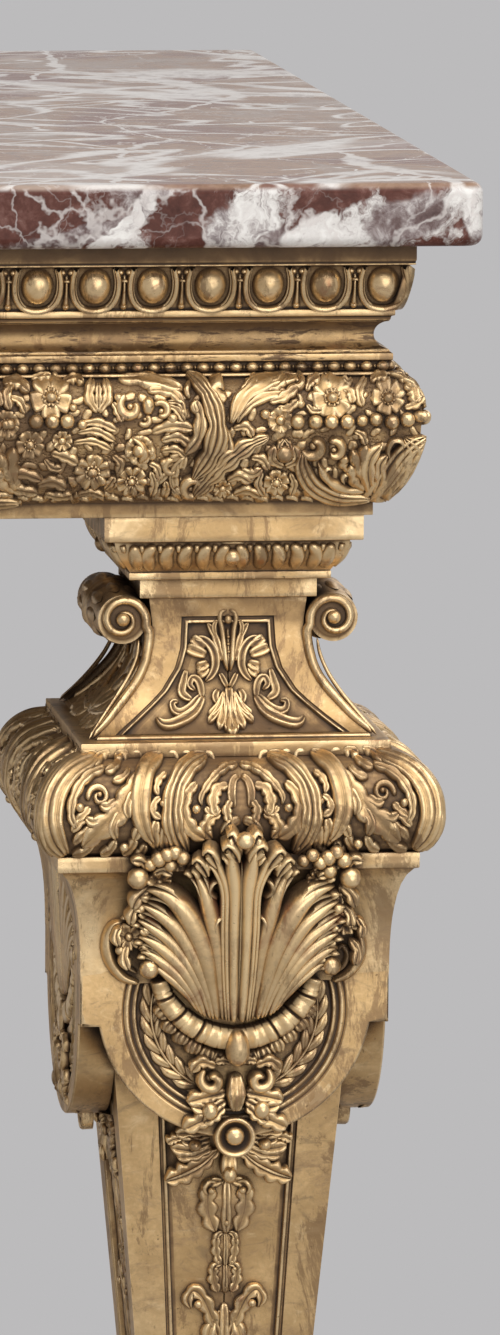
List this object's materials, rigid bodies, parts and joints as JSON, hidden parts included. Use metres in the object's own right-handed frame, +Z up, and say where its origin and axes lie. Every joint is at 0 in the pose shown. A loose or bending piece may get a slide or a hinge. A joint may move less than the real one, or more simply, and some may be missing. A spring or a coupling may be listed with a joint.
{
  "type": "pier table",
  "caption": "Rectangular pier table: rounded marble slab over a carved giltwood frame on tapered square legs joined by a curved cross stretcher.",
  "frame": {"origin": "on the floor, under the centre of the slab", "axes": "+X along the length, -Y to the front, +Z up"},
  "size_m": [1.4, 0.76, 0.87],
  "materials": {
    "marble": "polished breccia marble, veined in white and grey",
    "gilt_wood": "antique gilding over red bole and gesso, worn and dusty in the recesses",
    "secondary_wood": "plain oiled timber",
    "dowel_wood": "plain turned hardwood",
    "iron": "dark forged iron"
  },
  "bodies": {
    "root": {"abacus_back_left": "gilt_wood", "abacus_back_right": "gilt_wood", "abacus_front_left": "gilt_wood", "abacus_front_right": "gilt_wood", "ankle_back_left": "gilt_wood", "ankle_back_right": "gilt_wood", "ankle_front_left": "gilt_wood", "ankle_front_right": "gilt_wood", "arm_back_left": "gilt_wood", "arm_back_right": "gilt_wood", "arm_front_left": "gilt_wood", "arm_front_right": "gilt_wood", "bearer_left": "secondary_wood", "bearer_right": "secondary_wood", "capital_back_left": "gilt_wood", "capital_back_right": "gilt_wood", "capital_front_left": "gilt_wood", "capital_front_right": "gilt_wood", "corner_blocks": "secondary_wood", "cornice_back": "gilt_wood", "cornice_front": "gilt_wood", "cornice_left": "gilt_wood", "cornice_right": "gilt_wood", "cove_back": "gilt_wood", "cove_front": "gilt_wood", "cove_left": "gilt_wood", "cove_right": "gilt_wood", "cushion_back_left": "gilt_wood", "cushion_back_right": "gilt_wood", "cushion_front_left": "gilt_wood", "cushion_front_right": "gilt_wood", "finial": "gilt_wood", "foot_back_left": "gilt_wood", "foot_back_right": "gilt_wood", "foot_front_left": "gilt_wood", "foot_front_right": "gilt_wood", "frieze_back": "gilt_wood", "frieze_front": "gilt_wood", "frieze_left": "gilt_wood", "frieze_right": "gilt_wood", "hub": "gilt_wood", "husk_drops": "gilt_wood", "lappets_back_left": "gilt_wood", "lappets_back_right": "gilt_wood", "lappets_front_left": "gilt_wood", "lappets_front_right": "gilt_wood", "leg_blocks": "secondary_wood", "leg_rods": "dowel_wood", "marble_top": "marble", "palmettes": "gilt_wood", "rail_back": "secondary_wood", "rail_front": "secondary_wood", "rail_left": "secondary_wood", "rail_right": "secondary_wood", "screws": "iron", "shaft_back_left": "gilt_wood", "shaft_back_right": "gilt_wood", "shaft_front_left": "gilt_wood", "shaft_front_right": "gilt_wood", "stretcher_pins": "dowel_wood"}
  },
  "joints": []
}
